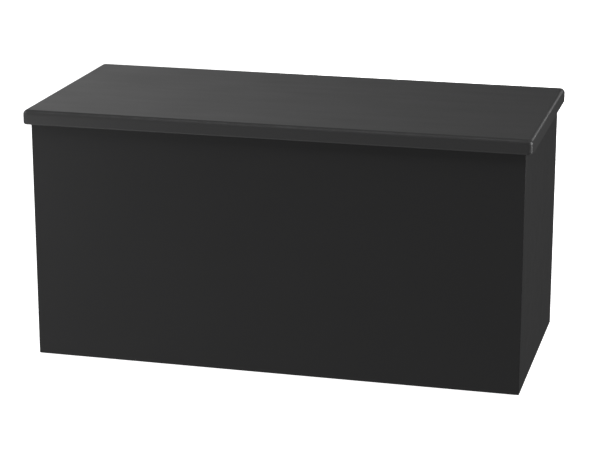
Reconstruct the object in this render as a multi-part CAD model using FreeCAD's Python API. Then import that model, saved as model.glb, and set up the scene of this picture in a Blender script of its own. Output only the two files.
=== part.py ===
import FreeCAD, Part
import os

# Storage bench: a plain lidded box in lacquered board, with a one-piece hinged lid that is the seat.
# Millimetres. +X is the bench's right, -Y its front, +Z up. The origin lies on the floor, under the
# centre of the lid. The front panel runs over the ends of the side panels, the back panel stands
# between them, and the base lies on pine cleats. Three flush hinges carry the lid, and a
# soft-closing stay at each end steadies it.

# ---- driving dimensions: the box and its lid
BODY_WIDTH = 850.0
BODY_DEPTH = 390.0
SEAT_HEIGHT = 443.0
BOARD = 15.0                 # front, back and side panels
BASE_BOARD = 12.0
LID_BOARD = 25.0
LID_SIDE_OVERHANG = 12.0
LID_FRONT_OVERHANG = 12.0
LID_BACK_OVERHANG = 8.0
LID_TOP_RADIUS = 8.0
LID_LOWER_RADIUS = 3.0
LID_CORNER_RADIUS = 10.0     # seen from above
ARRIS_RADIUS = 1.5           # the box's four upright outer edges

# ---- clearances
BODY_GAP = 0.4               # between pieces that move past each other
RUNNING_FIT = 0.05           # radial, a pin in the bore that turns on it
OPEN_PIVOT_FIT = 0.10        # radial, the link's eye on the lid bracket's pin
SCREW_FIT = 0.1              # radial and at the tip, fastenings in their holes
BASE_FIT = 0.5               # base panel to the walls round it
BOARD_SKIN = 2.5             # wood left behind a bore or a screw's tip
OVERCUT = 1.0                # how far a cutting tool starts outside the face it cuts
NEAR = 0.01                  # how near an edge lies to a plane that it counts as in

# ---- floor glides and lid bumpers
GLIDE_HEIGHT = 3.0
GLIDE_MARGIN = 2.0           # cleat's side to the glide's rim
GLIDE_EDGE = 0.8
GLIDE_NAIL_RADIUS = 1.0
GLIDE_NAIL_LENGTH = 12.0
GLIDE_INSET = 40.0           # from the body's outer corners
BUMPER_RADIUS = 4.0
BUMPER_INSET = 90.0          # from the body's outer corners

# ---- base cleats and their screws
CLEAT = 20.0                 # square section
CLEAT_CHAMFER = 1.5
SCREW_HEAD_RADIUS = 3.6
SCREW_RADIUS = 1.8
SCREW_TIP = 3.0
RECESS_WIDTH = 0.9           # cross recess in a screw's head
RECESS_LENGTH = 3.6
RECESS_DEPTH = 1.3
CLEAT_SCREW_INSET = 60.0
LONG_CLEAT_SCREWS = 4
SHORT_CLEAT_SCREWS = 2
BASE_SCREW_BITE = 14.0       # into a cleat

# ---- corner fittings: cam, bolt, dowel and cover cap
CAM_RADIUS = 7.5
CAM_SETBACK = 34.0           # joint line to the cam's centre
CAM_END_INSET = 68.0         # lower and upper ends of the panels to the cams
BOLT_RADIUS = 3.0
BOLT_NECK_RADIUS = 2.2
BOLT_HEAD_RADIUS = 3.3
BOLT_HEAD_LENGTH = 3.0
BOLT_NECK_LENGTH = 6.0
DOWEL_RADIUS = 4.0
DOWEL_LENGTH = 30.0
DOWEL_CAM_SPACING = 64.0
CAP_MARGIN = 1.5             # cam's rim to the cap's rim
CAP_HEIGHT = 1.2
CAP_EDGE = 0.5

# ---- flush hinges
HINGE_SPACING = 280.0
HINGE_LENGTH = 75.0
HINGE_INNER_LENGTH = 39.0    # the lid's leaf, which nests in the body's
LEAF_THICKNESS = 1.6
LEAF_STRIP = 3.0             # body leaf's front strip, past the lid's leaf
LEAF_EDGE_SETBACK = 1.0      # panel's inner face to the leaf's front edge
BARREL_RADIUS = 3.0
HINGE_PIN_RADIUS = 1.5
HINGE_SCREW_HEAD_RADIUS = 3.0
HINGE_SCREW_RADIUS = 1.5
HINGE_SCREW_LENGTH = 16.0
LID_LEAF_SCREW_SPACING = 22.0

# ---- soft-closing stays; the four pivots stand at the corners of a parallelogram
STAY_BACKSET = 112.0         # hinge axis forward to the housing's pivot
STAY_DROP = 62.0             # hinge axis down to the housing's pivot
BRACKET_BACKSET = 125.0      # hinge axis forward to the lid bracket's pivot
BRACKET_DROP = 10.0          # lid's underside down to that pivot
HOUSING_LENGTH = 62.0
HOUSING_HEIGHT = 40.0
HOUSING_DEPTH = 16.0
HOUSING_CORNER = 8.0
HOUSING_WALL = 4.0           # behind the damping chamber
CHAMBER_RADIUS = 15.0
EAR_SPACING = 84.0
EAR_RADIUS = 8.0
EAR_THICKNESS = 4.0
COVER_THICKNESS = 2.5
ROTOR_HUB_RADIUS = 9.0
ROTOR_VANE = 4.0
SPINDLE_RADIUS = 6.5
SPINDLE_SQUARE = 8.0
ARM_THICKNESS = 2.5
ARM_EYE_RADIUS = 10.0
ARM_RADIUS = 8.0
LINK_THICKNESS = 2.2
LINK_RADIUS = 7.0
STAY_PIN_RADIUS = 3.0
STAY_SHOULDER_RADIUS = 5.0
STAY_SHOULDER = 2.0          # spaces the link from the arm and from the bracket
STAY_HEAD_RADIUS = 5.5
STAY_HEAD = 1.2
STAY_AXIAL_GAP = 0.2
FOOT_LENGTH = 44.0
FOOT_WIDTH = 28.0
FOOT_THICKNESS = 2.0
FOOT_SCREW_SPACING = 28.0
PAN_HEAD_RADIUS = 3.6
PAN_HEAD_HEIGHT = 1.8
PAN_CROWN_RADIUS = 2.5       # flat top of the head
PAN_RIM_HEIGHT = 0.9         # straight rim of the head
PAN_SCREW_RADIUS = 1.9
FOOT_SCREW_BITE = 14.0       # into the lid

# ---- places that follow from the sizes above
X = FreeCAD.Vector(1, 0, 0)
Y = FreeCAD.Vector(0, 1, 0)
Z = FreeCAD.Vector(0, 0, 1)
LID_UNDERSIDE = SEAT_HEIGHT - LID_BOARD
LID_GAP = LEAF_THICKNESS + BODY_GAP   # rim to lid, where the hinge leaves and the bumpers lie
RIM = LID_UNDERSIDE - LID_GAP
BOX_FOOT = GLIDE_HEIGHT      # where the panels and the cleats end
LID_WIDTH = BODY_WIDTH + 2 * LID_SIDE_OVERHANG
LID_DEPTH = LID_FRONT_OVERHANG + BODY_DEPTH + LID_BACK_OVERHANG
FRONT = LID_FRONT_OVERHANG - LID_DEPTH / 2
BACK = FRONT + BODY_DEPTH
FRONT_INNER = FRONT + BOARD
BACK_INNER = BACK - BOARD
SIDE = BODY_WIDTH / 2
SIDE_INNER = SIDE - BOARD
CLEAT_TOP = BOX_FOOT + CLEAT
BASE_TOP = CLEAT_TOP + BASE_BOARD
BOARD_BITE = BOARD - BOARD_SKIN        # screws and cams, into a board's face
CROSS_BITE = BOARD_BITE - BOARD_SKIN   # bolts and dowels, into the board that a joint stands on
CAM_HEIGHTS = [BASE_TOP + CAM_END_INSET / 2, RIM - CAM_END_INSET]
DOWEL_HEIGHTS = [CAM_HEIGHTS[0] + DOWEL_CAM_SPACING, CAM_HEIGHTS[1] - DOWEL_CAM_SPACING]
GLIDE_RADIUS = CLEAT / 2 - GLIDE_MARGIN
CAP_RADIUS = CAM_RADIUS + CAP_MARGIN
HINGE_Y = BACK + BARREL_RADIUS + BODY_GAP
HINGE_Z = LID_UNDERSIDE - BARREL_RADIUS - BODY_GAP
HINGE_PLACES = [-HINGE_SPACING, 0.0, HINGE_SPACING]
LEAF_FRONT = BACK_INNER + LEAF_EDGE_SETBACK
LEAF_NEST = LEAF_FRONT + LEAF_STRIP

# stay pivots as (y, z): housing, lid bracket and elbow, with the lid shut
HOUSING_PIVOT = (HINGE_Y - STAY_BACKSET, HINGE_Z - STAY_DROP)
BRACKET_PIVOT = (HINGE_Y - BRACKET_BACKSET, LID_UNDERSIDE - BRACKET_DROP)
ELBOW = (
    HOUSING_PIVOT[0] + BRACKET_PIVOT[0] - HINGE_Y,
    HOUSING_PIVOT[1] + BRACKET_PIVOT[1] - HINGE_Z,
)
# stay layers along X on the right, from the side panel inwards
HOUSING_FACE = SIDE_INNER - HOUSING_DEPTH
COVER_FACE = HOUSING_FACE - COVER_THICKNESS
ARM_OUTER = COVER_FACE - BODY_GAP
ARM_INNER = ARM_OUTER - ARM_THICKNESS
SHOULDER_INNER = ARM_INNER - STAY_SHOULDER
LINK_OUTER = SHOULDER_INNER - STAY_AXIAL_GAP
LINK_INNER = LINK_OUTER - LINK_THICKNESS
PIN_HEAD_INNER = LINK_INNER - STAY_AXIAL_GAP


# ---- shapes that the pieces share
def block(x_range, y_range, z_range):
    """A box between two values along each axis."""
    size = [high - low for low, high in (x_range, y_range, z_range)]
    return Part.makeBox(*size, FreeCAD.Vector(x_range[0], y_range[0], z_range[0]))


def rod(radius, start, direction, length):
    """A round bar from a start point along a direction."""
    return Part.makeCylinder(radius, length, start, direction)


def turned(profile):
    """A solid of revolution about +Z from (radius, height) points that begin and end on the axis."""
    points = [FreeCAD.Vector(radius, 0, height) for radius, height in profile]
    wire = Part.makePolygon(points + points[:1])
    return Part.Face(wire).revolve(FreeCAD.Vector(0, 0, 0), Z, 360)


def placed(shape, point, direction):
    """A copy of a shape drawn along +Z, moved to a point and aimed along a direction."""
    copy = shape.copy()
    copy.Placement = FreeCAD.Placement(point, FreeCAD.Rotation(Z, direction))
    return copy


def group(shape, places):
    """One compound of a shape at each (point, direction) place."""
    return Part.Compound([placed(shape, point, direction) for point, direction in places])


def drilled(shape, hole, places):
    """A shape with the same hole cut at each (point, direction) place."""
    return shape.cut([placed(hole, point, direction) for point, direction in places])


def straight_edges(shape, axis, keep):
    """The straight edges of a shape that lie along an axis and whose middle passes a test."""
    found = []
    for edge in shape.Edges:
        ends = [vertex.Point for vertex in edge.Vertexes]
        if len(ends) < 2:
            continue
        run = ends[1] - ends[0]
        if run.Length > 0 and abs(run.dot(axis)) > 0.999 * run.Length and keep(edge.CenterOfMass):
            found.append(edge)
    return found


def bar(x_range, start, end, radius):
    """A flat bar in a Y-Z plane with a round eye at each end, given as (y, z) points."""
    depth = x_range[1] - x_range[0]
    first = FreeCAD.Vector(x_range[0], *start)
    last = FreeCAD.Vector(x_range[0], *end)
    along = (last - first).normalize()
    across = X.cross(along) * radius
    cap_out = along * radius
    edges = [
        Part.LineSegment(first + across, last + across).toShape(),
        Part.Arc(last + across, last + cap_out, last - across).toShape(),
        Part.LineSegment(last - across, first - across).toShape(),
        Part.Arc(first - across, first - cap_out, first + across).toShape(),
    ]
    return Part.Face(Part.Wire(edges)).extrude(X * depth)


# ---- fastenings, drawn with the head's seat at the origin and the tip along +Z
def cross_recess(top):
    """The tool that cuts a cross recess into a head whose top lies at a height."""
    tools = []
    for angle in (0, 90):
        slot = Part.makeBox(RECESS_WIDTH, RECESS_LENGTH, RECESS_DEPTH + OVERCUT)
        slot.translate(FreeCAD.Vector(-RECESS_WIDTH / 2, -RECESS_LENGTH / 2, top - OVERCUT))
        slot.rotate(FreeCAD.Vector(0, 0, 0), Z, angle)
        tools.append(slot)
    return tools


def countersunk_screw(head, shank, length):
    """A countersunk screw with its flat head flush at the origin."""
    cone = head - shank
    tip = length - SCREW_TIP
    body = turned([(0, 0), (head, 0), (shank, cone), (shank, tip), (0, length)])
    return body.cut(cross_recess(0))


def countersunk_hole(head, shank, length):
    """The hole for a countersunk screw, with its fit all round."""
    wide = head + SCREW_FIT
    narrow = shank + SCREW_FIT
    depth = length + SCREW_FIT
    cone = wide - narrow
    return turned([(0, -OVERCUT), (wide, -OVERCUT), (wide, 0), (narrow, cone), (narrow, depth), (0, depth)])


def pan_screw(length):
    """A screw with a rounded head that stands on the surface."""
    head = PAN_HEAD_RADIUS
    top = -PAN_HEAD_HEIGHT
    tip = length - SCREW_TIP
    shank = PAN_SCREW_RADIUS
    body = turned([
        (0, top), (PAN_CROWN_RADIUS, top), (head, -PAN_RIM_HEIGHT), (head, 0), (shank, 0), (shank, tip),
        (0, length),
    ])
    return body.cut(cross_recess(top))


def straight_hole(radius, length):
    """A plain drilled hole with its fit, which opens outside the surface it is cut from."""
    return rod(radius + SCREW_FIT, Z * -OVERCUT, Z, length + SCREW_FIT + OVERCUT)


# ---- carcass: where each fastening goes, shared by the pieces it passes through
def corner_lines():
    """Each corner joint of the box, as (joint point at z 0, along, inward).

    The point lies where two boards meet, at mid thickness of the board that holds the cam. Along
    runs from the joint into that board, and inward points from it to the storage space.
    """
    middle = BOARD / 2
    lines = []
    for side in (-1, 1):
        front_point = FreeCAD.Vector(side * (SIDE - middle), FRONT_INNER, 0)
        back_point = FreeCAD.Vector(side * SIDE_INNER, BACK - middle, 0)
        lines.append((front_point, Y, X * -side))
        lines.append((back_point, X * -side, Y * -1))
    return lines


def corner_places(heights):
    """Every corner joint at every height, as (point, along, inward)."""
    return [
        (point + Z * height, along, inward)
        for point, along, inward in corner_lines()
        for height in heights
    ]


def cam_spots():
    """Each cam as (point on the inner face, direction into the board, direction to the joint)."""
    return [
        (point + along * CAM_SETBACK + inward * (BOARD / 2), inward * -1, along * -1)
        for point, along, inward in corner_places(CAM_HEIGHTS)
    ]


def corner_bores():
    """All the bores of the corner fittings, which are cut from every panel they pass through."""
    tools = []
    for face_point, into, _ in cam_spots():
        start = face_point - into * OVERCUT
        tools.append(rod(CAM_RADIUS + SCREW_FIT, start, into, BOARD_BITE + SCREW_FIT + OVERCUT))
    for point, along, _ in corner_places(CAM_HEIGHTS):
        start = point - along * (CROSS_BITE + SCREW_FIT)
        tools.append(rod(BOLT_RADIUS + SCREW_FIT, start, along, CROSS_BITE + 2 * SCREW_FIT))
        tools.append(rod(BOLT_HEAD_RADIUS + SCREW_FIT, point, along, CAM_SETBACK))
    for point, along, _ in corner_places(DOWEL_HEIGHTS):
        start = point - along * (CROSS_BITE + SCREW_FIT)
        tools.append(rod(DOWEL_RADIUS + SCREW_FIT, start, along, DOWEL_LENGTH + 2 * SCREW_FIT))
    return tools


def spread(low, high, count):
    """Evenly spaced values from low to high."""
    step = (high - low) / (count - 1)
    return [low + step * index for index in range(count)]


def cleat_screw_places():
    """Screws through the middle of each cleat into the panel behind it."""
    height = (BOX_FOOT + CLEAT_TOP) / 2
    places = []
    for x in spread(-SIDE_INNER + CLEAT_SCREW_INSET, SIDE_INNER - CLEAT_SCREW_INSET, LONG_CLEAT_SCREWS):
        places.append((FreeCAD.Vector(x, FRONT_INNER + CLEAT, height), Y * -1))
        places.append((FreeCAD.Vector(x, BACK_INNER - CLEAT, height), Y))
    for y in spread(FRONT_INNER + CLEAT_SCREW_INSET, BACK_INNER - CLEAT_SCREW_INSET, SHORT_CLEAT_SCREWS):
        for side in (-1, 1):
            places.append((FreeCAD.Vector(side * (SIDE_INNER - CLEAT), y, height), X * side))
    return places


def base_screw_places():
    """Screws from the base down into the cleats, midway between the cleats' own screws."""
    pitch = 2 * (SIDE_INNER - CLEAT_SCREW_INSET) / (LONG_CLEAT_SCREWS - 1)
    places = []
    for x in (-pitch, 0.0, pitch):
        for y in (FRONT_INNER + CLEAT / 2, BACK_INNER - CLEAT / 2):
            places.append((FreeCAD.Vector(x, y, BASE_TOP), Z * -1))
    for side in (-1, 1):
        middle = (FRONT_INNER + BACK_INNER) / 2
        places.append((FreeCAD.Vector(side * (SIDE_INNER - CLEAT / 2), middle, BASE_TOP), Z * -1))
    return places


def glide_places():
    """Glides under the two long cleats, near their ends."""
    return [
        (FreeCAD.Vector(x, y, BOX_FOOT), Z)
        for x in (-SIDE + GLIDE_INSET, SIDE - GLIDE_INSET)
        for y in (FRONT_INNER + CLEAT / 2, BACK_INNER - CLEAT / 2)
    ]


def bumper_places():
    """Bumpers on the front panel's rim and on the rim of each side panel."""
    places = []
    for side in (-1, 1):
        places.append((FreeCAD.Vector(side * (SIDE - BUMPER_INSET), FRONT + BOARD / 2, RIM), Z))
        places.append((FreeCAD.Vector(side * (SIDE - BOARD / 2), FRONT + BUMPER_INSET, RIM), Z))
    return places


def body_leaf_screw_places():
    """Screws from each body leaf's two end lobes down into the back panel's edge."""
    lobe = (HINGE_LENGTH + HINGE_INNER_LENGTH) / 4
    return [
        (FreeCAD.Vector(x + offset, BACK - BOARD / 2, RIM + LEAF_THICKNESS), Z * -1)
        for x in HINGE_PLACES
        for offset in (-lobe, lobe)
    ]


def lid_leaf_screw_places():
    """Screws from each lid leaf up into the lid."""
    return [
        (FreeCAD.Vector(x + offset, (LEAF_NEST + BACK) / 2, LID_UNDERSIDE - LEAF_THICKNESS), Z)
        for x in HINGE_PLACES
        for offset in (-LID_LEAF_SCREW_SPACING / 2, LID_LEAF_SCREW_SPACING / 2)
    ]


def ear_screw_places(side):
    """Screws through a stay housing's two ears into the side panel."""
    y, z = HOUSING_PIVOT
    return [
        (FreeCAD.Vector(side * (SIDE_INNER - EAR_THICKNESS), y + offset, z), X * side)
        for offset in (-EAR_SPACING / 2, EAR_SPACING / 2)
    ]


def foot_screw_places(side):
    """Screws through a lid bracket's foot up into the lid."""
    x = side * (ARM_INNER - (FOOT_WIDTH - ARM_THICKNESS) / 2)
    return [
        (FreeCAD.Vector(x, BRACKET_PIVOT[0] + offset, LID_UNDERSIDE - FOOT_THICKNESS), Z)
        for offset in (-FOOT_SCREW_SPACING / 2, FOOT_SCREW_SPACING / 2)
    ]


CLEAT_SCREW_LENGTH = CLEAT + BOARD_BITE
BASE_SCREW_LENGTH = BASE_BOARD + BASE_SCREW_BITE
EAR_SCREW_LENGTH = EAR_THICKNESS + BOARD_BITE
FOOT_SCREW_LENGTH = FOOT_THICKNESS + FOOT_SCREW_BITE
CLEAT_SCREW_HOLE = countersunk_hole(SCREW_HEAD_RADIUS, SCREW_RADIUS, CLEAT_SCREW_LENGTH)
BASE_SCREW_HOLE = countersunk_hole(SCREW_HEAD_RADIUS, SCREW_RADIUS, BASE_SCREW_LENGTH)
HINGE_SCREW_HOLE = countersunk_hole(HINGE_SCREW_HEAD_RADIUS, HINGE_SCREW_RADIUS, HINGE_SCREW_LENGTH)
EAR_SCREW_HOLE = straight_hole(PAN_SCREW_RADIUS, EAR_SCREW_LENGTH)
FOOT_SCREW_HOLE = straight_hole(PAN_SCREW_RADIUS, FOOT_SCREW_LENGTH)
GLIDE_NAIL_HOLE = straight_hole(GLIDE_NAIL_RADIUS, GLIDE_NAIL_LENGTH)


# ---- carcass pieces
def panels():
    """The five boards of the box, with every hole that a fastening needs."""
    height = (BOX_FOOT, RIM)
    bores = corner_bores()
    front = block((-SIDE, SIDE), (FRONT, FRONT_INNER), height)
    outer = straight_edges(front, Z, lambda middle: middle.y < FRONT + NEAR)
    front = front.makeFillet(ARRIS_RADIUS, outer).cut(bores)
    front = drilled(front, CLEAT_SCREW_HOLE, cleat_screw_places())
    back = block((-SIDE_INNER, SIDE_INNER), (BACK_INNER, BACK), height).cut(bores)
    back = drilled(back, CLEAT_SCREW_HOLE, cleat_screw_places())
    back = drilled(back, HINGE_SCREW_HOLE, body_leaf_screw_places())
    made = {"front_panel": front, "back_panel": back}
    for name, side in (("left", -1), ("right", 1)):
        across = sorted((side * SIDE_INNER, side * SIDE))
        panel = block(across, (FRONT_INNER, BACK), height)
        outer = straight_edges(
            panel, Z, lambda middle: abs(middle.x) > SIDE - NEAR and middle.y > BACK - NEAR
        )
        panel = panel.makeFillet(ARRIS_RADIUS, outer).cut(bores)
        panel = drilled(panel, CLEAT_SCREW_HOLE, cleat_screw_places())
        made[name + "_side_panel"] = drilled(panel, EAR_SCREW_HOLE, ear_screw_places(side))
    base = block(
        (-SIDE_INNER + BASE_FIT, SIDE_INNER - BASE_FIT),
        (FRONT_INNER + BASE_FIT, BACK_INNER - BASE_FIT),
        (CLEAT_TOP, BASE_TOP),
    )
    made["base_panel"] = drilled(base, BASE_SCREW_HOLE, base_screw_places())
    return made


def faces_room(middle):
    """Whether a cleat's edge, known by its middle, is the lower one towards the inside of the box."""
    return (
        middle.z < BOX_FOOT + NEAR
        and abs(middle.x) < SIDE_INNER - NEAR
        and FRONT_INNER + NEAR < middle.y < BACK_INNER - NEAR
    )


def cleats():
    """Four pine cleats round the foot of the box: two long, and two short between them."""
    height = (BOX_FOOT, CLEAT_TOP)
    depth = (FRONT_INNER + CLEAT, BACK_INNER - CLEAT)
    long_run = (-SIDE_INNER, SIDE_INNER)
    blanks = {
        "front_cleat": block(long_run, (FRONT_INNER, FRONT_INNER + CLEAT), height),
        "back_cleat": block(long_run, (BACK_INNER - CLEAT, BACK_INNER), height),
        "left_cleat": block((-SIDE_INNER, -SIDE_INNER + CLEAT), depth, height),
        "right_cleat": block((SIDE_INNER - CLEAT, SIDE_INNER), depth, height),
    }
    made = {}
    for name, blank in blanks.items():
        axis = X if name in ("front_cleat", "back_cleat") else Y
        blank = blank.makeChamfer(CLEAT_CHAMFER, straight_edges(blank, axis, faces_room))
        blank = drilled(blank, CLEAT_SCREW_HOLE, cleat_screw_places())
        blank = drilled(blank, BASE_SCREW_HOLE, base_screw_places())
        made[name] = drilled(blank, GLIDE_NAIL_HOLE, glide_places())
    return made


def corner_fittings():
    """Cams, cam bolts, dowels and cover caps, each kind as one group."""
    cams = []
    for face_point, into, to_joint in cam_spots():
        cam = rod(CAM_RADIUS, face_point, into, BOARD_BITE)
        centre = face_point + into * (BOARD / 2)
        start = centre - to_joint * BOLT_HEAD_LENGTH
        channel = rod(BOLT_HEAD_RADIUS + SCREW_FIT, start, to_joint, BOLT_HEAD_LENGTH + 2 * CAM_RADIUS)
        cross = [placed(tool, face_point, into) for tool in cross_recess(0)]
        cams.append(cam.cut([channel] + cross))
    neck_start = CROSS_BITE + CAM_SETBACK - BOLT_HEAD_LENGTH - BOLT_NECK_LENGTH
    head_start = neck_start + BOLT_NECK_LENGTH
    tip = head_start + BOLT_HEAD_LENGTH
    bolt = turned([
        (0, 0), (BOLT_RADIUS, 0), (BOLT_RADIUS, neck_start), (BOLT_NECK_RADIUS, neck_start),
        (BOLT_NECK_RADIUS, head_start), (BOLT_HEAD_RADIUS, head_start), (BOLT_HEAD_RADIUS, tip), (0, tip),
    ])
    bolt_places = [
        (point - along * CROSS_BITE, along) for point, along, _ in corner_places(CAM_HEIGHTS)
    ]
    dowel = Part.makeCylinder(DOWEL_RADIUS, DOWEL_LENGTH)
    dowel_places = [
        (point - along * CROSS_BITE, along) for point, along, _ in corner_places(DOWEL_HEIGHTS)
    ]
    rim = CAP_RADIUS - CAP_EDGE
    low = CAP_HEIGHT - CAP_EDGE
    cap = turned([(0, 0), (CAP_RADIUS, 0), (CAP_RADIUS, low), (rim, CAP_HEIGHT), (0, CAP_HEIGHT)])
    cap_places = [(face_point, into * -1) for face_point, into, _ in cam_spots()]
    return {
        "corner_cams": Part.Compound(cams),
        "corner_cam_bolts": group(bolt, bolt_places),
        "corner_dowels": group(dowel, dowel_places),
        "cam_cover_caps": group(cap, cap_places),
    }


def small_fittings():
    """Screws in the carcass, floor glides and lid bumpers, each kind as one group."""
    cleat_screw = countersunk_screw(SCREW_HEAD_RADIUS, SCREW_RADIUS, CLEAT_SCREW_LENGTH)
    base_screw = countersunk_screw(SCREW_HEAD_RADIUS, SCREW_RADIUS, BASE_SCREW_LENGTH)
    foot = -GLIDE_HEIGHT
    worn = GLIDE_RADIUS - GLIDE_EDGE
    nail = GLIDE_NAIL_LENGTH
    glide = turned([
        (0, foot), (worn, foot), (GLIDE_RADIUS, foot + GLIDE_EDGE), (GLIDE_RADIUS, 0),
        (GLIDE_NAIL_RADIUS, 0), (GLIDE_NAIL_RADIUS, nail - GLIDE_NAIL_RADIUS), (0, nail),
    ])
    bumper_height = LID_GAP - BODY_GAP
    crown = BUMPER_RADIUS - bumper_height / 2
    bumper = turned([
        (0, 0), (BUMPER_RADIUS, 0), (BUMPER_RADIUS, bumper_height / 2), (crown, bumper_height),
        (0, bumper_height),
    ])
    return {
        "cleat_screws": group(cleat_screw, cleat_screw_places()),
        "base_panel_screws": group(base_screw, base_screw_places()),
        "floor_glides": group(glide, glide_places()),
        "lid_bumpers": group(bumper, bumper_places()),
    }


# ---- lid and hinges
def lid():
    """The seat: one board with a rounded top edge all round and softly rounded corners."""
    board = block(
        (-LID_WIDTH / 2, LID_WIDTH / 2), (-LID_DEPTH / 2, LID_DEPTH / 2), (LID_UNDERSIDE, SEAT_HEIGHT)
    )
    board = board.makeFillet(LID_CORNER_RADIUS, straight_edges(board, Z, lambda middle: True))
    top = [edge for edge in board.Edges if edge.BoundBox.ZMin > SEAT_HEIGHT - NEAR]
    board = board.makeFillet(LID_TOP_RADIUS, top)
    low = [edge for edge in board.Edges if edge.BoundBox.ZMax < LID_UNDERSIDE + NEAR]
    board = board.makeFillet(LID_LOWER_RADIUS, low)
    board = drilled(board, HINGE_SCREW_HOLE, lid_leaf_screw_places())
    for side in (-1, 1):
        board = drilled(board, FOOT_SCREW_HOLE, foot_screw_places(side))
    return board


def knuckle(x_range):
    """A stretch of hinge barrel with its bore."""
    start = FreeCAD.Vector(x_range[0], HINGE_Y, HINGE_Z)
    length = x_range[1] - x_range[0]
    outside = rod(BARREL_RADIUS, start, X, length)
    bore = rod(HINGE_PIN_RADIUS + RUNNING_FIT, start - X * OVERCUT, X, length + 2 * OVERCUT)
    return outside, bore


def hinges():
    """Three flush hinges: the body's leaf is a frame round the lid's leaf, on a common pin."""
    made = {}
    half = HINGE_LENGTH / 2
    nest = HINGE_INNER_LENGTH / 2
    for name, x in zip(("left", "middle", "right"), HINGE_PLACES):
        plate = block((x - half, x + half), (LEAF_FRONT, HINGE_Y), (RIM, RIM + LEAF_THICKNESS))
        opening = block(
            (x - nest - BODY_GAP, x + nest + BODY_GAP),
            (LEAF_NEST - BODY_GAP, HINGE_Y + BARREL_RADIUS),
            (RIM - OVERCUT, LID_UNDERSIDE),
        )
        body_leaf = plate.cut(opening)
        bores = []
        for x_range in ((x - half, x - nest - BODY_GAP), (x + nest + BODY_GAP, x + half)):
            outside, bore = knuckle(x_range)
            body_leaf = body_leaf.fuse(outside)
            bores.append(bore)
        body_leaf = drilled(body_leaf.cut(bores), HINGE_SCREW_HOLE, body_leaf_screw_places())
        leaf_height = (LID_UNDERSIDE - LEAF_THICKNESS, LID_UNDERSIDE)
        inner = block((x - nest, x + nest), (LEAF_NEST, HINGE_Y), leaf_height)
        outside, bore = knuckle((x - nest, x + nest))
        lid_leaf = drilled(inner.fuse(outside).cut(bore), HINGE_SCREW_HOLE, lid_leaf_screw_places())
        pin_start = FreeCAD.Vector(x - half, HINGE_Y, HINGE_Z)
        made[name + "_hinge_body_leaf"] = body_leaf
        made[name + "_hinge_lid_leaf"] = lid_leaf
        made[name + "_hinge_pin"] = rod(HINGE_PIN_RADIUS, pin_start, X, HINGE_LENGTH)
    screw = countersunk_screw(HINGE_SCREW_HEAD_RADIUS, HINGE_SCREW_RADIUS, HINGE_SCREW_LENGTH)
    made["hinge_body_screws"] = group(screw, body_leaf_screw_places())
    made["hinge_lid_screws"] = group(screw, lid_leaf_screw_places())
    return made


# ---- soft-closing stay, drawn on the right
def housing_outline(x_range):
    """The housing's rounded block between two values of X."""
    y, z = HOUSING_PIVOT
    shape = block(
        x_range,
        (y - HOUSING_LENGTH / 2, y + HOUSING_LENGTH / 2),
        (z - HOUSING_HEIGHT / 2, z + HOUSING_HEIGHT / 2),
    )
    return shape.makeFillet(HOUSING_CORNER, straight_edges(shape, X, lambda middle: True))


def damper_pieces():
    """The damper's housing, its cover, and the vaned rotor that turns with the arm."""
    y, z = HOUSING_PIVOT
    ears = bar(
        (SIDE_INNER - EAR_THICKNESS, SIDE_INNER),
        (y - EAR_SPACING / 2, z), (y + EAR_SPACING / 2, z), EAR_RADIUS,
    )
    chamber_depth = HOUSING_DEPTH - HOUSING_WALL
    mouth = FreeCAD.Vector(HOUSING_FACE - OVERCUT, y, z)
    chamber = rod(CHAMBER_RADIUS, mouth, X, chamber_depth + OVERCUT)
    housing = housing_outline((HOUSING_FACE, SIDE_INNER)).fuse(ears).cut(chamber)
    housing = drilled(housing, EAR_SCREW_HOLE, ear_screw_places(1))
    spindle_hole = rod(SPINDLE_RADIUS + RUNNING_FIT, FreeCAD.Vector(COVER_FACE - OVERCUT, y, z), X,
                       COVER_THICKNESS + 2 * OVERCUT)
    cover = housing_outline((COVER_FACE, HOUSING_FACE)).cut(spindle_hole)
    back_end = HOUSING_FACE + chamber_depth - BODY_GAP
    vane_start = HOUSING_FACE + BODY_GAP
    hub = rod(ROTOR_HUB_RADIUS, FreeCAD.Vector(vane_start, y, z), X, back_end - vane_start)
    reach = CHAMBER_RADIUS - RUNNING_FIT
    sweep = rod(reach, FreeCAD.Vector(vane_start, y, z), X, back_end - vane_start)
    vane = block((vane_start, back_end), (y - reach, y + reach), (z - ROTOR_VANE / 2, z + ROTOR_VANE / 2))
    spindle = rod(SPINDLE_RADIUS, FreeCAD.Vector(ARM_OUTER, y, z), X, vane_start - ARM_OUTER)
    half = SPINDLE_SQUARE / 2
    square = block((ARM_INNER, ARM_OUTER), (y - half, y + half), (z - half, z + half))
    head = rod(SPINDLE_RADIUS, FreeCAD.Vector(ARM_INNER - STAY_HEAD, y, z), X, STAY_HEAD)
    rotor = hub.fuse([vane.common(sweep), spindle, square, head])
    return housing, cover, rotor


def pin(start_x, layers, pivot):
    """A stepped pin along X from its outer end inwards, from (radius, inner end X) steps."""
    y, z = pivot
    profile = [(0, 0)]
    travelled = 0.0
    for radius, end_x in layers:
        profile.append((radius, travelled))
        travelled = start_x - end_x
        profile.append((radius, travelled))
    profile.append((0, travelled))
    return placed(turned(profile), FreeCAD.Vector(start_x, y, z), X * -1)


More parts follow.
